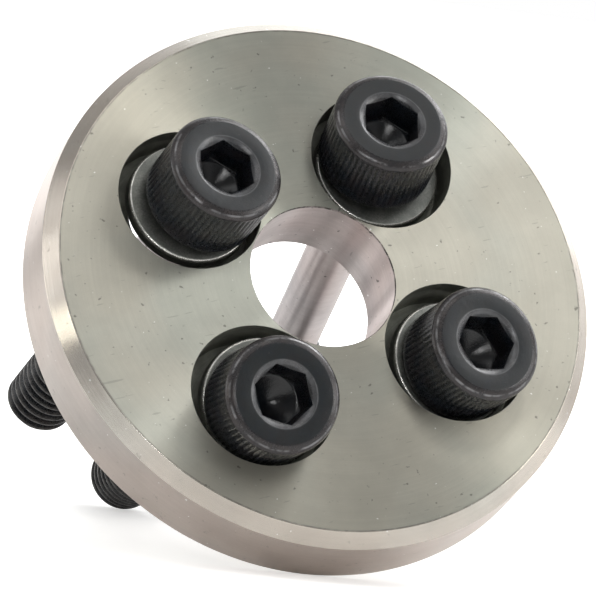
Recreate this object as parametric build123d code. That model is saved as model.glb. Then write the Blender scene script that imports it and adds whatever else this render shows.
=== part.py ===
from build123d import *
import os
from math import atan2, cos, radians, sin, sqrt, tan

os.makedirs("parts", exist_ok=True)

# Bolted flange disc of a shaft coupling with four loose M8 x 50 cap screws.
# Millimetres, +Z up.  The origin is the centre of the bore on the rear
# (mating) face; the disc lies above it and the screw heads are on its +Z side.

# ---- flange disc ------------------------------------------------------------
DISC_D = 64.0          # outside diameter
DISC_T = 9.5           # thickness
FRONT_CHAMFER = 1.5    # 45 degree chamfer around the front face
REAR_BREAK = 0.3       # edge break around the rear face
BORE_D = 17.0          # plain shaft bore
PCD = 34.0             # pitch circle of the four screw stations
CBORE_D = 16.6         # flat-bottomed counterbore for washer and head
CBORE_DEPTH = 5.2
HOLE_D = 11.0          # roomy clearance hole for the M8 screws

# ---- M8 x 50 hexagon socket cap screw with a turned-down shank --------------
HEAD_D = 13.2          # knurled head
HEAD_H = 8.0
HEAD_BEVEL_R = 0.45    # bevel around the top of the head, radial
HEAD_BEVEL_H = 0.75    # and axial
HEAD_FOOT = 0.3        # edge break under the head
SOCKET_AF = 6.0        # hexagon socket, across flats
SOCKET_DEPTH = 4.2
SOCKET_SINK_D = 7.5    # countersink at the mouth of the socket
SOCKET_SINK_H = 0.45
SOCKET_CONE_H = 1.3    # drill point below the socket
SHANK_D = 6.0          # waisted, bare turned shank
NECK_R = 0.4           # bevelled root under the head
THREAD_D = 8.0         # M8 x 1.25, plain envelope
THREAD_L = 12.0
SCREW_L = 50.0         # under the head to the tip
RUNOUT = 1.0           # cone from shank to thread
TIP = 1.2              # chamfered thread start

# ---- small-series plain washer ----------------------------------------------
WASHER_D = 14.4
WASHER_ID = 8.4
WASHER_T = 1.6
WASHER_EDGE = 0.25

# ---- how each loose screw and its washer lie in the flange ------------------
# station angle, screw seat (offset from the hole axis in x and y, height z),
# screw lean towards +X and +Y in degrees, socket corner angle,
# washer top-face centre (x, y, z), share of the screw's lean that it takes
STATIONS = {
    1: (45.0, (-0.01, 0.77, 7.73), (-0.36, 9.85), 6.1, (12.50, 12.09, 6.91), 0.25),
    2: (135.0, (1.32, -0.14, 8.94), (6.27, 2.68), 15.3, (-11.49, 12.11, 8.35), 0.25),
    3: (225.0, (-0.17, -0.72, 8.08), (-3.57, -12.99), 27.7, (-11.41, -12.23, 7.78), 1.00),
    4: (315.0, (0.34, -0.72, 7.61), (4.92, -6.61), 48.1, (12.38, -12.47, 7.28), 1.00),
}


def turned(profile):
    """Solid of revolution about Z from a closed (radius, height) profile."""
    with BuildPart() as body:
        with BuildSketch(Plane.XZ):
            with BuildLine():
                Polyline(*profile, close=True)
            make_face()
        revolve(axis=Axis.Z)
    return body.part


def unit(v):
    n = sqrt(sum(c * c for c in v))
    return tuple(c / n for c in v)


def leaning(lean, share=1.0):
    """Unit vector leaning from +Z by the given angles towards +X and +Y."""
    return unit((tan(radians(lean[0])) * share, tan(radians(lean[1])) * share, 1.0))


def plane_at(origin, z_dir):
    """Plane on origin, normal to z_dir, with its x axis in the row's XZ plane."""
    x_dir = unit((z_dir[2], 0.0, -z_dir[0]))
    return Plane(origin=origin, x_dir=x_dir, z_dir=z_dir)


def station_centre(angle):
    return PCD / 2 * cos(radians(angle)), PCD / 2 * sin(radians(angle))


def flange_disc():
    r, b = DISC_D / 2, BORE_D / 2
    disc = turned([
        (b, 0.0),
        (r - REAR_BREAK, 0.0),
        (r, REAR_BREAK),
        (r, DISC_T - FRONT_CHAMFER),
        (r - FRONT_CHAMFER, DISC_T),
        (b, DISC_T),
    ])
    for angle, *_ in STATIONS.values():
        x, y = station_centre(angle)
        disc -= Pos(x, y, DISC_T / 2) * Cylinder(HOLE_D / 2, DISC_T + 2)
        disc -= Pos(x, y, DISC_T - CBORE_DEPTH + 10) * Cylinder(CBORE_D / 2, 20)
    return disc


def cap_screw(corner_angle):
    """Screw along Z: seat of the head at z = 0, head above, thread below."""
    h, s, t = HEAD_D / 2, SHANK_D / 2, THREAD_D / 2
    body = turned([
        (0.0, HEAD_H),
        (h - HEAD_BEVEL_R, HEAD_H),
        (h, HEAD_H - HEAD_BEVEL_H),
        (h, HEAD_FOOT),
        (h - HEAD_FOOT, 0.0),
        (s + NECK_R, 0.0),
        (s, -NECK_R),
        (s, -(SCREW_L - THREAD_L - RUNOUT)),
        (t, -(SCREW_L - THREAD_L)),
        (t, -(SCREW_L - TIP)),
        (t - TIP * 0.75, -SCREW_L),
        (0.0, -SCREW_L),
    ])
    corner = SOCKET_AF / 2 / cos(radians(30))
    pts = [(corner * cos(radians(corner_angle + 60 * k)),
            corner * sin(radians(corner_angle + 60 * k))) for k in range(6)]
    floor = HEAD_H - SOCKET_DEPTH
    with BuildPart() as socket:
        with BuildSketch(Plane.XY.offset(floor)):
            with BuildLine():
                Polyline(*pts, close=True)
            make_face()
        extrude(amount=SOCKET_DEPTH + 1)
    sink = turned([
        (0.0, HEAD_H - SOCKET_SINK_H),
        (SOCKET_SINK_D / 2 - SOCKET_SINK_H, HEAD_H - SOCKET_SINK_H),
        (SOCKET_SINK_D / 2 + 0.5, HEAD_H + 0.5),
        (0.0, HEAD_H + 0.5),
    ])
    point = turned([
        (0.0, floor - SOCKET_CONE_H),
        (SOCKET_AF / 2 - 0.1, floor + 0.0),
        (SOCKET_AF / 2 - 0.1, floor + 0.2),
        (0.0, floor + 0.2),
    ])
    return body - socket.part - sink - point


def plain_washer():
    """Washer along Z with its top face at z = 0."""
    o, i, e = WASHER_D / 2, WASHER_ID / 2, WASHER_EDGE
    return turned([
        (i, 0.0), (o - e, 0.0), (o, -e), (o, -WASHER_T + e),
        (o - e, -WASHER_T), (i, -WASHER_T),
    ])


export_step(flange_disc(), "parts/flange_disc.step")

for number, (angle, seat, lean, corner_angle, top, share) in STATIONS.items():
    cx, cy = station_centre(angle)
    screw_plane = plane_at((cx + seat[0], cy + seat[1], seat[2]), leaning(lean))
    washer_plane = plane_at(top, leaning(lean, share))
    export_step(screw_plane.location * cap_screw(corner_angle),
                f"parts/cap_screw_{number}.step")
    export_step(washer_plane.location * plain_washer(),
                f"parts/plain_washer_{number}.step")
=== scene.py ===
import math

import bpy
import bmesh
from mathutils import Matrix, Vector


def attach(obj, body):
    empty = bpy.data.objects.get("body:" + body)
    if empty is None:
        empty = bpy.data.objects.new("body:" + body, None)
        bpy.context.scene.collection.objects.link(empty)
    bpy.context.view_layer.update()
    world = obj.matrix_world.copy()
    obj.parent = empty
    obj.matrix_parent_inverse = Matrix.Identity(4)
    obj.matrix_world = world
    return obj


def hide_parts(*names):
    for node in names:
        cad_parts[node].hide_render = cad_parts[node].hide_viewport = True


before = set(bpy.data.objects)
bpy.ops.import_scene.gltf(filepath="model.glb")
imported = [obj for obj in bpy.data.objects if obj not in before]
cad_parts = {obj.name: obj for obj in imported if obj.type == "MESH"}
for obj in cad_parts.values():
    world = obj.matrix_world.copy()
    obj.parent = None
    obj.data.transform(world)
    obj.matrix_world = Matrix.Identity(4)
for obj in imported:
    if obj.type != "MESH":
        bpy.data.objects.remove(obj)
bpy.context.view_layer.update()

MM = 0.001
TAU = 2 * math.pi

# ------------------------------------------------------------------ dimensions
DISC_R, DISC_T, CHAMFER, BORE_R = 32.0, 9.5, 1.5, 8.5
CIRCLE_R, CBORE_R, CBORE_FLOOR, HOLE_R = 17.0, 8.3, 4.3, 5.5
HEAD_R, HEAD_H = 6.6, 8.0
SCREW_L, THREAD_L, PITCH = 50.0, 12.0, 1.25

# station angle, screw seat (offset from the hole axis, height), lean in degrees
# towards +X and +Y, socket corner angle, washer top centre, washer's share of lean
STATIONS = {
    1: (45.0, (-0.01, 0.77, 7.73), (-0.36, 9.85), 6.1, (12.50, 12.09, 6.91), 0.25),
    2: (135.0, (1.32, -0.14, 8.94), (6.27, 2.68), 15.3, (-11.49, 12.11, 8.35), 0.25),
    3: (225.0, (-0.17, -0.72, 8.08), (-3.57, -12.99), 27.7, (-11.41, -12.23, 7.78), 1.00),
    4: (315.0, (0.34, -0.72, 7.61), (4.92, -6.61), 48.1, (12.38, -12.47, 7.28), 1.00),
}


def axis_of(lean, share=1.0):
    return Vector((math.tan(math.radians(lean[0])) * share,
                   math.tan(math.radians(lean[1])) * share, 1.0)).normalized()


def place(origin_mm, axis, spin_deg=0.0):
    """World matrix of a piece built along its own Z in metres."""
    x = Vector((axis.z, 0.0, -axis.x)).normalized()
    y = axis.cross(x)
    m = Matrix((
        (x.x, y.x, axis.x, origin_mm[0] * MM),
        (x.y, y.y, axis.y, origin_mm[1] * MM),
        (x.z, y.z, axis.z, origin_mm[2] * MM),
        (0, 0, 0, 1)))
    return m @ Matrix.Rotation(math.radians(spin_deg), 4, "Z")


# --------------------------------------------------------------------- meshes
def link(name, mesh):
    o = bpy.data.objects.new(name, mesh)
    bpy.context.scene.collection.objects.link(o)
    return o


def mesh_from(name, verts, faces):
    me = bpy.data.meshes.new(name)
    me.from_pydata([(x * MM, y * MM, z * MM) for x, y, z in verts], [], faces)
    me.validate()
    me.update()
    return me


def turned(name, profile, steps, closed=True, offset=(0.0, 0.0)):
    """Surface of revolution. A closed profile is a ring; an open one starts and
    ends on the axis."""
    verts, faces, rings = [], [], []
    for r, z in profile:
        if r < 1e-9:
            rings.append([len(verts)])
            verts.append((offset[0], offset[1], z))
        else:
            rings.append(list(range(len(verts), len(verts) + steps)))
            for i in range(steps):
                a = TAU * i / steps
                verts.append((offset[0] + r * math.cos(a), offset[1] + r * math.sin(a), z))
    pairs = list(zip(rings, rings[1:]))
    if closed:
        pairs.append((rings[-1], rings[0]))
    for a, b in pairs:
        for i in range(steps):
            j = (i + 1) % steps
            if len(a) == 1 and len(b) == 1:
                break
            if len(a) == 1:
                faces.append((a[0], b[i], b[j]))
            elif len(b) == 1:
                faces.append((a[i], b[0], a[j]))
            else:
                faces.append((a[i], b[i], b[j], a[j]))
    me = mesh_from(name, verts, faces)
    fix_normals(me)
    return me


def fix_normals(me):
    bm = bmesh.new()
    bm.from_mesh(me)
    bmesh.ops.remove_doubles(bm, verts=bm.verts, dist=1e-7)
    bmesh.ops.dissolve_degenerate(bm, dist=1e-8, edges=bm.edges)
    bmesh.ops.recalc_face_normals(bm, faces=bm.faces)
    bm.to_mesh(me)
    bm.free()
    me.update()


def shade(me, sharp_deg=32.0):
    """Smooth faces, with edges over the angle kept sharp."""
    bm = bmesh.new()
    bm.from_mesh(me)
    limit = math.radians(sharp_deg)
    for f in bm.faces:
        f.smooth = True
    for e in bm.edges:
        e.smooth = len(e.link_faces) == 2 and e.calc_face_angle(0.0) < limit
    bm.to_mesh(me)
    bm.free()
    me.update()


def weight_normals(o):
    m = o.modifiers.new("weighted", "WEIGHTED_NORMAL")
    m.mode = "FACE_AREA"
    m.weight = 60
    m.keep_sharp = True


def arc(cx, cz, r, a0, a1, n):
    return [(cx + r * math.cos(math.radians(a0 + (a1 - a0) * i / n)),
             cz + r * math.sin(math.radians(a0 + (a1 - a0) * i / n))) for i in range(n + 1)]


# ------------------------------------------------------------------ node maker
class Nodes:
    """Short calls for building one procedural material."""

    def __init__(self, name):
        self.mat = bpy.data.materials.new(name)
        self.mat.use_nodes = True
        self.t = self.mat.node_tree
        self.t.nodes.clear()
        self.out = self.t.nodes.new("ShaderNodeOutputMaterial")
        self.bsdf = self.t.nodes.new("ShaderNodeBsdfPrincipled")
        self.t.links.new(self.bsdf.outputs[0], self.out.inputs["Surface"])

    def new(self, kind, **props):
        n = self.t.nodes.new(kind)
        for k, v in props.items():
            setattr(n, k, v)
        return n

    def to(self, a, socket):
        self.t.links.new(a, socket)

    def put(self, value, socket):
        if hasattr(value, "is_output"):
            self.to(value, socket)
        else:
            socket.default_value = value

    def math(self, op, a, b=None, c=None, clamp=False):
        n = self.new("ShaderNodeMath", operation=op, use_clamp=clamp)
        self.put(a, n.inputs[0])
        if b is not None:
            self.put(b, n.inputs[1])
        if c is not None:
            self.put(c, n.inputs[2])
        return n.outputs[0]

    def vec(self, op, a, b=None):
        n = self.new("ShaderNodeVectorMath", operation=op)
        self.put(a, n.inputs[0])
        if b is not None:
            self.put(b, n.inputs[1])
        return n.outputs["Value"] if op in ("LENGTH", "DOT_PRODUCT", "DISTANCE") else n.outputs[0]

    def object(self):
        return self.new("ShaderNodeTexCoord").outputs["Object"]

    def split(self, v):
        n = self.new("ShaderNodeSeparateXYZ")
        self.put(v, n.inputs[0])
        return n.outputs

    def join(self, x, y, z):
        n = self.new("ShaderNodeCombineXYZ")
        for v, s in zip((x, y, z), n.inputs):
            self.put(v, s)
        return n.outputs[0]

    def noise(self, v, scale, detail=2.0, rough=0.5, dims="3D", w=None):
        n = self.new("ShaderNodeTexNoise", noise_dimensions=dims)
        if v is not None and dims != "1D":
            self.put(v, n.inputs["Vector"])
        if w is not None:
            self.put(w, n.inputs["W"])
        n.inputs["Scale"].default_value = scale
        n.inputs["Detail"].default_value = detail
        n.inputs["Roughness"].default_value = rough
        return n.outputs["Fac"]

    def ramp(self, v, stops, smooth=False):
        n = self.new("ShaderNodeValToRGB")
        if smooth:
            n.color_ramp.interpolation = "EASE"
        e = n.color_ramp.elements
        while len(e) < len(stops):
            e.new(0.5)
        for el, (p, c) in zip(e, stops):
            el.position = p
            c = (c, c, c) if isinstance(c, (int, float)) else c
            el.color = (*c, 1.0)
        self.put(v, n.inputs[0])
        return n.outputs[0]

    def mix(self, f, a, b, kind="MIX"):
        n = self.new("ShaderNodeMix", data_type="RGBA", blend_type=kind)
        self.put(f, n.inputs[0])
        for v, s in ((a, n.inputs[6]), (b, n.inputs[7])):
            self.put((*v, 1.0) if isinstance(v, tuple) and len(v) == 3 else v, s)
        return n.outputs[2]

    def map(self, v, a, b, c, d):
        n = self.new("ShaderNodeMapRange")
        self.put(v, n.inputs[0])
        for k, x in zip((1, 2, 3, 4), (a, b, c, d)):
            n.inputs[k].default_value = x
        return n.outputs[0]

    def bump(self, height, strength, dist, normal=None):
        n = self.new("ShaderNodeBump")
        n.inputs["Strength"].default_value = strength
        n.inputs["Distance"].default_value = dist
        self.put(height, n.inputs["Height"])
        if normal is not None:
            self.to(normal, n.inputs["Normal"])
        return n.outputs[0]


def turned_steel(name, tint, dark, rough, lines_mm, groove=0.35, aniso=0.75, mottling=0.5,
                 marks=0.5, axial=False, edge=None):
    """Fine-turned bare steel. Tool marks run round the Z axis: their spacing is
    along the radius, or along Z on a wall (axial)."""
    n = Nodes(name)
    p = n.vec("MULTIPLY", n.object(), (1000.0, 1000.0, 1000.0))  # millimetres
    x, y, z = n.split(p)
    radius = n.math("SQRT", n.math("ADD", n.math("MULTIPLY", x, x), n.math("MULTIPLY", y, y)))
    inv = n.math("DIVIDE", 1.0, n.math("MAXIMUM", radius, 0.01))
    cx, cy = n.math("MULTIPLY", x, inv), n.math("MULTIPLY", y, inv)
    run = z if axial else radius
    # tool marks: fast across the feed, slow along the cut
    fine = n.noise(n.join(n.math("MULTIPLY", cx, 2.2), n.math("MULTIPLY", cy, 2.2),
                          n.math("MULTIPLY", run, lines_mm)), 1.0, 3.0, 0.62)
    wide = n.noise(n.join(n.math("MULTIPLY", cx, 0.9), n.math("MULTIPLY", cy, 0.9),
                          n.math("MULTIPLY", run, lines_mm * 0.22)), 1.0, 2.0, 0.5)
    # mottling and handling marks
    blot = n.noise(p, 0.16, 4.0, 0.6)
    grain = n.noise(p, 5.0, 2.0, 0.7)
    speck = n.noise(p, 1.15, 2.0, 0.55)
    speck = n.ramp(speck, [(0.0, 0.0), (0.685, 0.0), (0.74, 1.0)])
    scratch = n.noise(n.vec("MULTIPLY", n.vec("ADD", p, n.vec("MULTIPLY", n.join(blot, speck, blot), (6.0, 1.0, 2.0))),
                            (0.35, 2.6, 1.0)), 1.0, 1.0, 0.5)
    scratch = n.ramp(scratch, [(0.0, 0.0), (0.735, 0.0), (0.765, 1.0)])
    colour = n.mix(n.math("MULTIPLY", n.map(blot, 0.35, 0.65, 0.0, 1.0), mottling), tint, dark)
    colour = n.mix(n.map(fine, 0.3, 0.7, 0.0, 0.26), colour, dark)
    colour = n.mix(n.map(wide, 0.42, 0.62, 0.0, 0.16), colour, dark)
    colour = n.mix(n.map(grain, 0.35, 0.7, 0.0, 0.13), colour, dark)
    drift = n.noise(n.vec("ADD", p, (31.0, 7.0, 3.0)), 0.055, 2.0, 0.5)
    colour = n.mix(n.map(drift, 0.44, 0.60, 0.0, 0.26), colour, tuple(min(1.0, c * f) for c, f in
                                                                     zip(tint, (1.10, 0.98, 0.90))))
    colour = n.mix(n.map(drift, 0.52, 0.36, 0.0, 0.22), colour, tuple(c * f for c, f in zip(tint, (0.84, 0.93, 0.92))))
    # painted glints: small near-white specks in the base colour
    glint = n.ramp(n.noise(n.vec("ADD", p, (5.0, 17.0, 9.0)), 2.1, 1.0, 0.5), [(0.0, 0.0), (0.775, 0.0), (0.80, 1.0)])
    colour = n.mix(n.math("MULTIPLY", speck, marks), colour, (0.10, 0.095, 0.085))
    colour = n.mix(n.math("MULTIPLY", scratch, marks * 0.45), colour, (0.16, 0.155, 0.14))
    colour = n.mix(n.math("MULTIPLY", glint, 0.85), colour, (0.98, 0.98, 0.96))
    if edge is not None:                       # painted shade: a dark line where two turned surfaces meet
        lo, hi, edge_shade_colour = edge
        edge_shade_line = n.math("MULTIPLY", n.map(run, lo - 0.06, lo, 0.0, 1.0), n.map(run, hi + 0.06, hi, 0.0, 1.0))
        edge_shade_line = n.math("MULTIPLY", edge_shade_line, n.map(n.noise(p, 0.8, 3.0, 0.7), 0.38, 0.58, 0.25, 1.0))
        colour = n.mix(edge_shade_line, colour, edge_shade_colour)
    n.to(colour, n.bsdf.inputs["Base Color"])
    n.bsdf.inputs["Metallic"].default_value = 1.0
    r = n.math("ADD", rough - 0.05, n.math("MULTIPLY", fine, 0.07))
    r = n.math("ADD", r, n.math("MULTIPLY", blot, 0.05))
    n.to(r, n.bsdf.inputs["Roughness"])
    n.bsdf.inputs["Anisotropic"].default_value = aniso
    n.bsdf.inputs["Anisotropic Rotation"].default_value = 0.25
    tangent = n.join(n.math("MULTIPLY", cy, -1.0), cx, 0.0)
    n.to(tangent, n.bsdf.inputs["Tangent"])
    h = n.math("ADD", n.math("MULTIPLY", fine, 1.0), n.math("MULTIPLY", wide, 0.6))
    b = n.bump(h, groove, 0.000012)
    b = n.bump(n.math("SUBTRACT", 1.0, n.math("MAXIMUM", speck, scratch)), 0.35 * marks, 0.00002, b)
    n.to(b, n.bsdf.inputs["Normal"])
    return n.mat


def milled_steel(name, tint, dark, rough):
    """Counterbore floors and walls: cut about each station's own axis."""
    n = Nodes(name)
    p = n.vec("MULTIPLY", n.object(), (1000.0, 1000.0, 1000.0))
    x, y, z = n.split(p)
    c = CIRCLE_R / math.sqrt(2)
    fx, fy = n.math("SUBTRACT", n.math("ABSOLUTE", x), c), n.math("SUBTRACT", n.math("ABSOLUTE", y), c)
    radius = n.math("SQRT", n.math("ADD", n.math("MULTIPLY", fx, fx), n.math("MULTIPLY", fy, fy)))
    inv = n.math("DIVIDE", 1.0, n.math("MAXIMUM", radius, 0.01))
    ux, uy = n.math("MULTIPLY", fx, inv), n.math("MULTIPLY", fy, inv)
    fine = n.noise(n.join(n.math("MULTIPLY", ux, 1.5), n.math("MULTIPLY", uy, 1.5),
                          n.math("MULTIPLY", n.math("ADD", radius, z), 7.0)), 1.0, 3.0, 0.6)
    blot = n.noise(p, 0.5, 3.0, 0.6)
    colour = n.mix(n.map(blot, 0.35, 0.65, 0.0, 0.6), tint, dark)
    colour = n.mix(n.map(fine, 0.3, 0.7, 0.0, 0.4), colour, dark)
    n.to(colour, n.bsdf.inputs["Base Color"])
    n.bsdf.inputs["Metallic"].default_value = 1.0
    n.to(n.math("ADD", rough - 0.05, n.math("MULTIPLY", fine, 0.1)), n.bsdf.inputs["Roughness"])
    n.bsdf.inputs["Anisotropic"].default_value = 0.6
    n.bsdf.inputs["Anisotropic Rotation"].default_value = 0.25
    sx, sy = n.math("SIGN", x), n.math("SIGN", y)
    n.to(n.join(n.math("MULTIPLY", n.math("MULTIPLY", uy, -1.0), sx), n.math("MULTIPLY", ux, sy), 0.0),
         n.bsdf.inputs["Tangent"])
    n.to(n.bump(fine, 0.4, 0.00001), n.bsdf.inputs["Normal"])
    return n.mat


def black_oxide(name, seed, base=(0.0045, 0.0055, 0.0070), rough=0.235, thread=False):
    """Black oxide on steel, in the screw's own coordinates: brown and blue tints,
    grain, rubbed edges, painted light on the top and painted highlights."""
    n = Nodes(name)
    p = n.vec("MULTIPLY", n.object(), (1000.0, 1000.0, 1000.0))
    x, y, z = n.split(p)
    radius = n.math("SQRT", n.math("ADD", n.math("MULTIPLY", x, x), n.math("MULTIPLY", y, y)))
    q = n.vec("ADD", p, (seed * 13.7, seed * 5.3, 0.0))
    blot = n.noise(q, 0.28, 3.0, 0.6)
    tone = n.noise(q, 0.75, 2.0, 0.5)
    grain = n.noise(q, 6.5, 3.0, 0.7)
    patch = n.noise(q, 1.1, 4.0, 0.7)
    fleck = n.ramp(n.noise(q, 2.6, 2.0, 0.6), [(0.0, 0.0), (0.70, 0.0), (0.78, 1.0)])
    colour = n.mix(n.map(blot, 0.42, 0.66, 0.0, 0.6), base, (0.016, 0.011, 0.012))
    colour = n.mix(n.map(tone, 0.42, 0.66, 0.0, 0.6), colour, (0.005, 0.009, 0.015))
    colour = n.mix(n.map(grain, 0.40, 0.75, 0.0, 0.30), colour, (0.026, 0.027, 0.028))
    colour = n.mix(n.math("MULTIPLY", fleck, 0.40), colour, (0.13, 0.12, 0.11))
    wear_and_sheen = None
    if thread:
        crest = n.map(radius, 3.72, 3.96, 0.0, 1.0)
        worn = n.math("MULTIPLY", crest, n.map(n.noise(q, 1.4, 3.0, 0.65), 0.36, 0.62, 0.25, 1.0))
        colour = n.mix(n.math("MULTIPLY", worn, 0.55), colour, (0.20, 0.19, 0.18))
        wear_and_sheen = worn
    else:
        # painted light: a green-grey lift on the matt flat top, clear of the socket, for the light falling on it
        flat = n.math("MULTIPLY", n.map(z, 7.97, 7.995, 0.0, 1.0), n.map(radius, 5.62, 5.50, 0.0, 1.0))
        top_light_tint = n.math("MULTIPLY", flat, n.map(n.noise(q, 0.9, 4.0, 0.7), 0.30, 0.70, 0.2, 1.0))
        colour = n.mix(n.math("MULTIPLY", top_light_tint, 0.7), colour, (0.011, 0.015, 0.016))
        # rubbed shoulder around the top face; painted highlights on the mouth of the socket and along the crease of
        # the top edge
        band = n.math("MULTIPLY", n.map(radius, 5.52, 5.80, 0.0, 1.0), n.map(z, 7.15, 7.45, 0.0, 1.0))
        rub_and_sheen = n.math("MULTIPLY", band, n.map(patch, 0.40, 0.64, 0.45, 1.0))
        crease = n.math("MULTIPLY", n.map(radius, 6.08, 6.16, 0.0, 1.0), n.map(radius, 6.34, 6.22, 0.0, 1.0))
        crease = n.math("MULTIPLY", crease, n.map(z, 7.55, 7.65, 0.0, 1.0))
        crease = n.math("MULTIPLY", crease, n.map(n.noise(q, 0.55, 3.0, 0.65), 0.44, 0.60, 0.0, 1.0))
        mouth = n.math("MULTIPLY", n.map(radius, 3.20, 3.40, 0.0, 1.0), n.map(radius, 3.95, 3.84, 0.0, 1.0))
        mouth = n.math("MULTIPLY", mouth, n.map(z, 7.6, 7.72, 0.0, 1.0))
        mouth = n.math("MULTIPLY", mouth, n.map(patch, 0.34, 0.60, 0.55, 1.0))
        shine = n.math("MAXIMUM", n.math("MULTIPLY", mouth, 0.34), n.math("MULTIPLY", rub_and_sheen, 0.34))
        shine = n.math("MAXIMUM", shine, n.math("MULTIPLY", crease, 0.6))
        colour = n.mix(n.math("MULTIPLY", rub_and_sheen, 0.6), colour, (0.075, 0.064, 0.062))
        # painted highlight: light grey on the socket mouth and along the top crease
        colour = n.mix(n.math("MAXIMUM", n.math("MULTIPLY", mouth, 0.22), n.math("MULTIPLY", crease, 0.5)),
                       colour, (0.42, 0.42, 0.43))
        n.to(shine, n.bsdf.inputs["Metallic"])
        wear_and_sheen = shine
        knurl = n.math("MULTIPLY", n.map(radius, 6.52, 6.6, 0.0, 1.0), n.map(z, 7.3, 6.9, 0.0, 1.0))
        colour = n.mix(n.math("MULTIPLY", knurl, 0.07), colour, (0.09, 0.088, 0.095))
    n.to(colour, n.bsdf.inputs["Base Color"])
    n.bsdf.inputs["IOR"].default_value = 1.50
    r = n.math("ADD", rough - 0.04, n.math("MULTIPLY", grain, 0.10))
    r = n.math("ADD", r, n.math("MULTIPLY", blot, 0.06))
    if not thread:
        r = n.math("ADD", r, n.math("MULTIPLY", flat, 0.05))
        inside = n.map(radius, 3.0, 2.8, 0.0, 1.0)
        r = n.math("SUBTRACT", r, n.math("MULTIPLY", inside, 0.09))
    r = n.math("SUBTRACT", r, n.math("MULTIPLY", wear_and_sheen, 0.05))
    n.to(r, n.bsdf.inputs["Roughness"])
    b = n.bump(grain, 0.35, 0.00003)
    b = n.bump(n.noise(q, 1.6, 4.0, 0.65), 0.30, 0.00008, b)
    n.to(b, n.bsdf.inputs["Normal"])
    return n.mat


def washer_steel(name, seed):
    """Dark satin washer face, with a painted highlight: bright on its rounded edge."""
    n = Nodes(name)
    p = n.vec("MULTIPLY", n.object(), (1000.0, 1000.0, 1000.0))
    x, y, z = n.split(p)
    radius = n.math("SQRT", n.math("ADD", n.math("MULTIPLY", x, x), n.math("MULTIPLY", y, y)))
    q = n.vec("ADD", p, (seed * 9.1, seed * 3.7, 0.0))
    grain = n.noise(q, 4.5, 4.0, 0.75)
    blot = n.noise(q, 0.5, 3.0, 0.6)
    colour = n.mix(n.map(grain, 0.3, 0.7, 0.0, 1.0), (0.165, 0.172, 0.160), (0.34, 0.345, 0.315))
    colour = n.mix(n.map(blot, 0.35, 0.7, 0.0, 0.6), colour, (0.10, 0.106, 0.100))
    # painted highlight: near-white base colour round the rounded outer edge
    edge = n.math("MULTIPLY", n.map(radius, 6.90, 7.04, 0.0, 1.0), n.map(z, -0.6, -0.2, 0.0, 1.0))
    rub_and_sheen = n.math("MULTIPLY", edge, n.map(n.noise(q, 0.7, 3.0, 0.6), 0.35, 0.6, 0.45, 1.0))
    colour = n.mix(rub_and_sheen, colour, (0.80, 0.79, 0.74))
    n.to(colour, n.bsdf.inputs["Base Color"])
    n.bsdf.inputs["Metallic"].default_value = 0.85
    n.to(n.math("SUBTRACT", n.math("ADD", 0.32, n.math("MULTIPLY", grain, 0.14)),
                n.math("MULTIPLY", rub_and_sheen, 0.16)), n.bsdf.inputs["Roughness"])
    n.to(n.bump(grain, 0.4, 0.00004), n.bsdf.inputs["Normal"])
    return n.mat


# ------------------------------------------------------------------- the disc
def build_disc():
    t, r, c, b = DISC_T, DISC_R, CHAMFER, BORE_R
    k = math.sqrt(0.5)
    profile = [(b, 0.16), (b + 0.16, 0.0)]
    profile += [(r - 0.36, 0.0), (r - 0.28, 0.03), (r - 0.03, 0.28), (r, 0.36)]
    profile += [(r, t - c - 0.07), (r - 0.012, t - c - 0.02), (r - 0.04, t - c + 0.04)]
    profile += [(r - c + 0.05, t - 0.05), (r - c + 0.015, t - 0.02), (r - c - 0.04, t)]
    profile += [(b + 0.075, t), (b + 0.02, t - 0.025), (b, t - 0.09)]
    body = link("flange_disc_turned", turned("flange_disc_turned", profile, 360))
    cutters = []
    for a, *_ in STATIONS.values():
        ox, oy = CIRCLE_R * math.cos(math.radians(a)), CIRCLE_R * math.sin(math.radians(a))
        prof = [(0.0, -2.0), (HOLE_R + 0.2, -2.0), (HOLE_R + 0.2, 0.0), (HOLE_R, 0.2),
                (HOLE_R, CBORE_FLOOR - 0.15), (HOLE_R + 0.15, CBORE_FLOOR),
                (CBORE_R, CBORE_FLOOR), (CBORE_R, t - 0.05), (CBORE_R + 0.05, t),
                (CBORE_R + 0.05, t + 2.0), (0.0, t + 2.0)]
        cutters.append(turned("cut", prof, 168, closed=False, offset=(ox, oy)))
    bm = bmesh.new()
    for me in cutters:
        bm.from_mesh(me)
    whole = bpy.data.meshes.new("cutters")
    bm.to_mesh(whole)
    bm.free()
    tool = link("cutters", whole)
    m = body.modifiers.new("holes", "BOOLEAN")
    m.operation = "DIFFERENCE"
    m.solver = "EXACT"
    m.object = tool
    bpy.context.view_layer.update()
    dg = bpy.context.evaluated_depsgraph_get()
    final = bpy.data.meshes.new_from_object(body.evaluated_get(dg))
    bpy.data.objects.remove(tool)
    bpy.data.objects.remove(body)
    bm = bmesh.new()
    bm.from_mesh(final)
    bmesh.ops.remove_doubles(bm, verts=bm.verts, dist=2e-7)
    bm.to_mesh(final)
    bm.free()
    final.name = "flange_disc_body"
    shade(final, 24.0)
    o = link("flange_disc_body", final)
    # which finish each face takes
    h = CIRCLE_R * k
    for f in final.polygons:
        cx, cy, cz = (v / MM for v in f.center)
        rad = math.hypot(cx, cy)
        st = math.hypot(abs(cx) - h, abs(cy) - h)
        nz, flat = f.normal.z, math.hypot(f.normal.x, f.normal.y)
        if nz > 0.985 and cz > t - 0.02:
            i = 0
        elif rad > r - c - 0.06 and nz > 0.3:
            i = 1
        elif rad > r - 0.1 and flat > 0.8:
            i = 2
        elif st < CBORE_R + 0.06 and (flat > 0.5 or nz > 0.5) and 0.0 < cz:
            i = 4
        elif rad < b + 0.1:
            i = 3
        else:
            i = 5
        f.material_index = i
    return o


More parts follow.
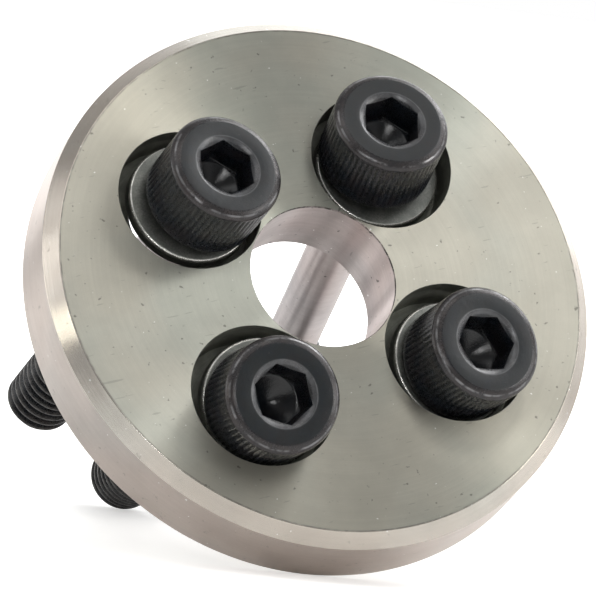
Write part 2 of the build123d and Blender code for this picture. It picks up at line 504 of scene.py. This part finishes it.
disc = build_disc()
# painted light colour: each turned surface gets its own tint for the light it catches, greenish on the front face,
# warmer on the chamfer, mauve on the rim and bore wall; the bore wall's darker mix colour is painted shade inside the
# bore
for m in (
    turned_steel("turned_face", (0.575, 0.570, 0.495), (0.400, 0.400, 0.350), 0.295, 9.0, groove=0.38, aniso=0.94, marks=0.6,
                 edge=(DISC_R - CHAMFER - 0.16, DISC_R - CHAMFER + 0.1, (0.30, 0.285, 0.25))),
    turned_steel("turned_chamfer", (0.640, 0.605, 0.550), (0.440, 0.405, 0.365), 0.24, 4.6, groove=0.60, aniso=0.90,
                 marks=0.25),
    turned_steel("turned_rim", (0.660, 0.605, 0.565), (0.470, 0.420, 0.390), 0.30, 7.0, groove=0.35, aniso=0.88,
                 marks=0.3, axial=True),
    turned_steel("bored_wall", (0.660, 0.590, 0.575), (0.330, 0.280, 0.275), 0.30, 5.0, groove=0.7, aniso=0.85,
                 marks=0.8, axial=True, edge=(DISC_T - 0.20, DISC_T, (0.07, 0.06, 0.055))),
    # painted shade: the counterbores take a darker tint for the shade in these recesses
    milled_steel("counterbore_cut", (0.36, 0.37, 0.32), (0.16, 0.16, 0.145), 0.44),
    turned_steel("turned_rear", (0.560, 0.545, 0.500), (0.410, 0.400, 0.370), 0.36, 7.0, groove=0.35, aniso=0.75),
):
    disc.data.materials.append(m)
weight_normals(disc)
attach(disc, "flange")
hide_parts("flange_disc")


# ----------------------------------------------------------------- the screws
TEETH, PER_TOOTH = 60, 8
AROUND = TEETH * PER_TOOTH


def tooth(i):
    """0 on a knurl's crest, 1 in its groove."""
    u = (i % PER_TOOTH) / PER_TOOTH
    v = abs(2.0 * u - 1.0)          # 1 at the groove, 0 at the middle of the crest
    return max(0.0, (v - 0.30) / 0.70)


def hex_radius(a):
    """Across-flats 6 socket with slightly rounded corners, corner at angle 0."""
    w = (a + math.pi / 6) % (math.pi / 3) - math.pi / 6      # 0 on a corner
    w = math.pi / 6 - abs(w)                                  # 0 on a flat's middle
    return min(3.0 / math.cos(w), 3.44)


def build_head():
    rows = []      # each row: function of the step giving (radius, height)

    def ring(r, z, cut=0.0):
        rows.append(lambda i, r=r, z=z, cut=cut: (r - cut * tooth(i), z))

    # underside, then the knurled side from the foot up to the rounded top edge
    ring(3.36, 0.0)
    ring(HEAD_R - 0.34, 0.0)
    ring(HEAD_R - 0.24, 0.04)
    ring(HEAD_R - 0.06, 0.24)
    ring(HEAD_R - 0.01, 0.36)
    ring(HEAD_R - 0.01, 0.80)
    ring(HEAD_R, 0.92, 0.02)
    ring(HEAD_R, 1.15, 0.10)
    for z in (1.6, 2.6, 3.6, 4.6, 5.6, 6.5):
        ring(HEAD_R, z, 0.12)
    ring(HEAD_R - 0.005, 6.98, 0.10)
    ring(HEAD_R - 0.01, 7.18, 0.03)
    ring(HEAD_R - 0.012, 7.26)
    for r, z in ((6.570, 7.34), (6.530, 7.42), (6.465, 7.51), (6.390, 7.59), (6.300, 7.67), (6.200, 7.74),
                 (6.080, 7.81), (5.940, 7.875), (5.790, 7.93), (5.670, 7.967), (5.580, 7.99), (5.50, 8.0)):
        ring(r, z)
    ring(3.84, 8.0)
    ring(3.79, 7.99)
    ring(3.73, 7.965)
    rows.append(lambda i: ((h := hex_radius(TAU * i / AROUND)) + 0.04, 7.965 - (3.73 - h) * 0.46 + 0.01))
    rows.append(lambda i: ((h := hex_radius(TAU * i / AROUND)), 7.965 - (3.73 - h) * 0.46 - 0.04))
    rows.append(lambda i: (hex_radius(TAU * i / AROUND), 5.9))
    rows.append(lambda i: (hex_radius(TAU * i / AROUND), 3.86))
    rows.append(lambda i: (hex_radius(TAU * i / AROUND) - 0.07, 3.79))
    ring(2.86, 3.78)
    for r, z in ((2.75, 3.72), (2.3, 3.46), (1.7, 3.15), (1.1, 2.88), (0.55, 2.68), (0.22, 2.60)):
        ring(r, z)
    verts, faces = [], []
    for row in rows:
        for i in range(AROUND):
            a = TAU * i / AROUND
            r, z = row(i)
            verts.append((r * math.cos(a), r * math.sin(a), z))
    for k in range(len(rows) - 1):
        for i in range(AROUND):
            j = (i + 1) % AROUND
            faces.append((k * AROUND + i, k * AROUND + j, (k + 1) * AROUND + j, (k + 1) * AROUND + i))
    # closing faces: drill point, and the annulus under the head is closed inside the shank
    last = (len(rows) - 1) * AROUND
    verts.append((0.0, 0.0, 2.57))
    for i in range(AROUND):
        faces.append((last + i, last + (i + 1) % AROUND, len(verts) - 1))
    verts.append((0.0, 0.0, 0.0))
    for i in range(AROUND):
        faces.append((len(verts) - 1, (i + 1) % AROUND, i))
    me = mesh_from("screw_head", verts, faces)
    fix_normals(me)
    shade(me, 33.0)
    return me


def build_shank():
    prof = [(0.0, 0.6), (3.35, 0.6), (3.35, 0.0), (3.22, -0.16), (3.08, -0.34), (3.0, -0.6)]
    # fine waviness of the turned shank
    z = -1.0
    k = 0
    while z > -(SCREW_L - THREAD_L) + 1.15:
        prof.append((3.0 - (0.012 if k % 2 else 0.0), z))
        z -= 0.34
        k += 1
    end = -(SCREW_L - THREAD_L)
    prof += [(3.0, end + 1.0), (3.0, end - 0.4), (0.0, end - 0.4)]
    me = turned("screw_shank", prof, 96, closed=False)
    shade(me, 40.0)
    return me


def build_thread():
    """Right-hand M8 x 1.25 thread: rows follow the helix, so crests stay crisp."""
    steps, per = 96, 20
    top, bottom, tip = -(SCREW_L - THREAD_L) + 0.9, -SCREW_L, 1.2
    major, minor = 3.985, 3.24
    dz = PITCH / per

    def thread_r(phase):
        u = phase % 1.0
        d = abs(u - 0.5) * 2.0          # 0 at the crest, 1 at the root
        if d < 0.14:
            return major
        if d > 0.74:
            return minor
        s = (d - 0.14) / 0.60
        return major + (minor - major) * s

    def limit(z):
        low = 3.05 + (z - bottom) * 0.86           # chamfered start
        up = 3.05 + (top - z) * 0.95               # run-out into the shank
        return min(low, up)

    first = int(math.floor(bottom / dz)) - per
    last = int(math.ceil(top / dz)) + 1
    verts, faces, index = [], [], {}
    for k in range(first, last + 1):
        for i in range(steps + 1):
            a = TAU * i / steps
            z = k * dz + PITCH * i / steps
            z = min(max(z, bottom), top)
            r = max(min(thread_r(k / per), limit(z)), 3.02)
            index[k, i] = len(verts)
            verts.append((r * math.cos(a), r * math.sin(a), z))
    for k in range(first, last):
        for i in range(steps):
            q = (index[k, i], index[k, i + 1], index[k + 1, i + 1], index[k + 1, i])
            zs = [verts[v][2] for v in q]
            if max(zs) - min(zs) < 1e-9 and zs[0] in (bottom, top):
                continue
            faces.append(q)
    me = bpy.data.meshes.new("screw_thread")
    me.from_pydata([(x * MM, y * MM, z * MM) for x, y, z in verts], [], faces)
    me.update()
    bm = bmesh.new()
    bm.from_mesh(me)
    bmesh.ops.remove_doubles(bm, verts=bm.verts, dist=1.5e-6)
    bmesh.ops.dissolve_degenerate(bm, dist=1e-7, edges=bm.edges)
    loose = [v for v in bm.verts if not v.link_faces]
    bmesh.ops.delete(bm, geom=loose, context="VERTS")
    bmesh.ops.holes_fill(bm, edges=[e for e in bm.edges if len(e.link_faces) == 1], sides=0)
    bmesh.ops.triangulate(bm, faces=[f for f in bm.faces if len(f.verts) > 4])
    bmesh.ops.recalc_face_normals(bm, faces=bm.faces)
    bm.to_mesh(me)
    bm.free()
    me.update()
    shade(me, 38.0)
    return me


def build_washer():
    o, i, t = 7.2, 4.2, 1.6
    prof = [(i, -0.10), (i + 0.03, -0.03), (i + 0.10, 0.0)]
    prof += [(o - 0.30, 0.0)] + arc(o - 0.30, -0.30, 0.30, 90, 0, 5)[1:]
    prof += [(o, -t + 0.12), (o - 0.04, -t + 0.04), (o - 0.12, -t)]
    prof += [(i + 0.10, -t), (i + 0.03, -t + 0.03), (i, -t + 0.10)]
    me = turned("washer", prof, 192)
    shade(me, 50.0)
    return me


head_mesh, shank_mesh, thread_mesh, washer_mesh = build_head(), build_shank(), build_thread(), build_washer()
shank_steel = turned_steel("turned_shank", (0.600, 0.555, 0.550), (0.360, 0.325, 0.325), 0.36, 5.0, groove=1.0,
                           aniso=0.6, marks=0.7, axial=True)

for k, (angle, seat, lean, corner, top, share) in STATIONS.items():
    cx, cy = CIRCLE_R * math.cos(math.radians(angle)), CIRCLE_R * math.sin(math.radians(angle))
    m = place((cx + seat[0], cy + seat[1], seat[2]), axis_of(lean), corner)
    for part, mesh, mat, slot in (
        ("head", head_mesh, black_oxide(f"black_oxide_{k}", k), "black_oxide_steel"),
        ("shank", shank_mesh, shank_steel, "bare_shank_steel"),
        ("thread", thread_mesh, black_oxide(f"black_thread_{k}", k + 7, thread=True), "black_oxide_steel"),
    ):
        me = mesh.copy()
        me.materials.append(mat)
        o = link(f"screw_{k}_{part}", me)
        o.matrix_world = m
        weight_normals(o)
        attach(o, f"screw_{k}")
        if part == "head":
            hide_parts(f"cap_screw_{k}")
    me = washer_mesh.copy()
    me.materials.append(washer_steel(f"washer_face_{k}", k))
    o = link(f"washer_{k}_ring", me)
    o.matrix_world = place(top, axis_of(lean, share))
    weight_normals(o)
    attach(o, f"washer_{k}")
    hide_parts(f"plain_washer_{k}")

# ------------------------------------------------- camera, floor, studio light
RIGHT = Vector((0.88387, -0.338082, 0.323225))
DOWN = Vector((-0.191757, -0.892221, -0.408865))
AHEAD = Vector((0.426618, 0.299402, -0.853437))
EYE = Vector((-257.211, -179.65, 516.261)) * MM
UP = Vector((0.277140, 0.820375, 0.500179)).normalized()      # normal of the table it rests on
TABLE = -27.56 * MM

cam_data = bpy.data.cameras.new("camera")
cam_data.lens = 36.0 * 5379.19 / 596.0
cam_data.sensor_width = 36.0
cam_data.clip_start, cam_data.clip_end = 0.02, 60.0
cam = bpy.data.objects.new("camera", cam_data)
bpy.context.scene.collection.objects.link(cam)
rot = Matrix((RIGHT, -DOWN, -AHEAD)).transposed()
cam.matrix_world = Matrix.Translation(EYE) @ rot.to_4x4()
bpy.context.scene.camera = cam


def build_floor():
    rings = [0.0, 0.05, 0.1, 0.2, 0.4, 0.8, 1.6, 4.0, 12.0]
    u = UP.orthogonal().normalized()
    v = UP.cross(u)
    c = UP * TABLE
    verts, faces = [tuple(c)], []
    n = 96
    for r in rings[1:]:
        for i in range(n):
            a = TAU * i / n
            verts.append(tuple(c + u * (r * math.cos(a)) + v * (r * math.sin(a))))
    for i in range(n):
        faces.append((0, 1 + i, 1 + (i + 1) % n))
    for k in range(len(rings) - 2):
        for i in range(n):
            a, b = 1 + k * n, 1 + (k + 1) * n
            faces.append((a + i, b + i, b + (i + 1) % n, a + (i + 1) % n))
    me = bpy.data.meshes.new("table")
    me.from_pydata(verts, [], faces)
    me.update()
    o = link("table", me)
    n = Nodes("white_table")
    t = n.t
    t.nodes.remove(n.bsdf)
    geo = n.new("ShaderNodeNewGeometry")
    diff = n.new("ShaderNodeBsdfDiffuse")
    diff.inputs["Color"].default_value = (0.90, 0.90, 0.895, 1)
    glow = n.new("ShaderNodeEmission")
    glow.inputs["Color"].default_value = (1.0, 0.995, 0.985, 1)
    away = n.vec("DISTANCE", n.object(), tuple(c))
    lift = n.map(away, 0.10, 0.42, 0.42, 1.05)
    seen = n.new("ShaderNodeLightPath").outputs["Is Camera Ray"]
    n.to(n.math("ADD", n.math("MULTIPLY", lift, seen), 0.02), glow.inputs["Strength"])
    add = n.new("ShaderNodeAddShader")
    clear = n.new("ShaderNodeBsdfTransparent")
    mix = n.new("ShaderNodeMixShader")
    n.to(diff.outputs[0], add.inputs[0])
    n.to(glow.outputs[0], add.inputs[1])
    n.to(geo.outputs["Backfacing"], mix.inputs[0])
    n.to(add.outputs[0], mix.inputs[1])
    n.to(clear.outputs[0], mix.inputs[2])
    n.to(mix.outputs[0], n.out.inputs["Surface"])
    me.materials.append(n.mat)
    return o


floor = build_floor()
if floor.data.polygons[0].normal.dot(UP) < 0:
    floor.data.flip_normals()


def softbox(name, direction, size, power, colour=(1.0, 1.0, 1.0)):
    """A round studio softbox one metre from the part, out of sight of the camera."""
    d = bpy.data.lights.new(name, "AREA")
    d.shape = "DISK"
    d.size = size
    d.energy = power
    d.color = colour
    o = bpy.data.objects.new(name, d)
    direction = Vector(direction).normalized()
    o.location = direction * 1.0
    o.rotation_mode = "QUATERNION"
    o.rotation_quaternion = direction.to_track_quat("Z", "Y")
    o.visible_camera = False
    bpy.context.scene.collection.objects.link(o)
    return o


# a bank of soft boxes: the front pair makes the fan of light across the turned face
softbox("key_high", (0.74, 0.62, 0.25), 0.46, 2.32)
softbox("key_front", (0.74, 0.27, 0.61), 0.46, 1.30)
softbox("key_low", (0.90, -0.20, 0.39), 0.46, 1.32)
softbox("left_wall", (-0.82, 0.57, -0.02), 0.46, 1.58)
softbox("overhead", (-0.18, 0.69, 0.70), 0.46, 0.60)
softbox("left_high", (-0.54, 0.77, 0.34), 0.46, 0.45)
softbox("back_high", (0.49, 0.86, -0.11), 0.46, 0.40)
softbox("back_right", (0.83, 0.44, -0.34), 0.46, 0.30)
softbox("back_low", (0.48, 0.53, -0.70), 0.46, 0.28)
softbox("fan_a", (-0.23, -0.06, 0.97), 0.14, 0.95)
softbox("fan_b", (0.73, -0.22, 0.65), 0.22, 0.95, (1.0, 0.99, 0.95))
softbox("fan_c", (0.25, 0.60, 0.76), 0.22, 0.42, (1.0, 0.97, 0.92))
softbox("edge_mouth", (0.89, 0.30, 0.20), 0.16, 0.70)
softbox("edge_shoulder", (0.85, 0.50, 0.05), 0.20, 0.95)
softbox("left_glint", (-0.84, 0.34, 0.42), 0.18, 0.48, (1.0, 0.97, 0.86))

world = bpy.data.worlds.new("studio")
bpy.context.scene.world = world
world.use_nodes = True
wt = world.node_tree
wt.nodes.clear()
w_out = wt.nodes.new("ShaderNodeOutputWorld")
coord = wt.nodes.new("ShaderNodeTexCoord")
dot = wt.nodes.new("ShaderNodeVectorMath")
dot.operation = "DOT_PRODUCT"
wt.links.new(coord.outputs["Generated"], dot.inputs[0])
dot.inputs[1].default_value = tuple(AHEAD)
span = wt.nodes.new("ShaderNodeMapRange")
span.inputs[1].default_value, span.inputs[2].default_value = -1.0, 1.0
wt.links.new(dot.outputs["Value"], span.inputs[0])
tone = wt.nodes.new("ShaderNodeValToRGB")
stops = [(0.0, (0.04, 0.04, 0.04)), (0.25, (0.60, 0.60, 0.60)), (0.50, (0.29, 0.29, 0.29)),
         (0.75, (0.52, 0.52, 0.52)), (1.0, (2.6, 2.6, 2.6))]
els = tone.color_ramp.elements
while len(els) < len(stops):
    els.new(0.5)
for el, (p, c) in zip(els, stops):
    el.position = p
    el.color = (*c, 1.0)
wt.links.new(span.outputs[0], tone.inputs[0])
env = wt.nodes.new("ShaderNodeBackground")
wt.links.new(tone.outputs[0], env.inputs["Color"])
env.inputs["Strength"].default_value = 1.0
white = wt.nodes.new("ShaderNodeBackground")
white.inputs["Color"].default_value = (1.0, 1.0, 1.0, 1.0)
path = wt.nodes.new("ShaderNodeLightPath")
pick = wt.nodes.new("ShaderNodeMixShader")
wt.links.new(path.outputs["Is Camera Ray"], pick.inputs[0])
wt.links.new(env.outputs[0], pick.inputs[1])
wt.links.new(white.outputs[0], pick.inputs[2])
wt.links.new(pick.outputs[0], w_out.inputs["Surface"])

view = bpy.context.scene.view_settings
view.view_transform = "Standard"
view.look = "None"
view.exposure = 0.0
view.gamma = 1.0

bpy.context.view_layer.update()
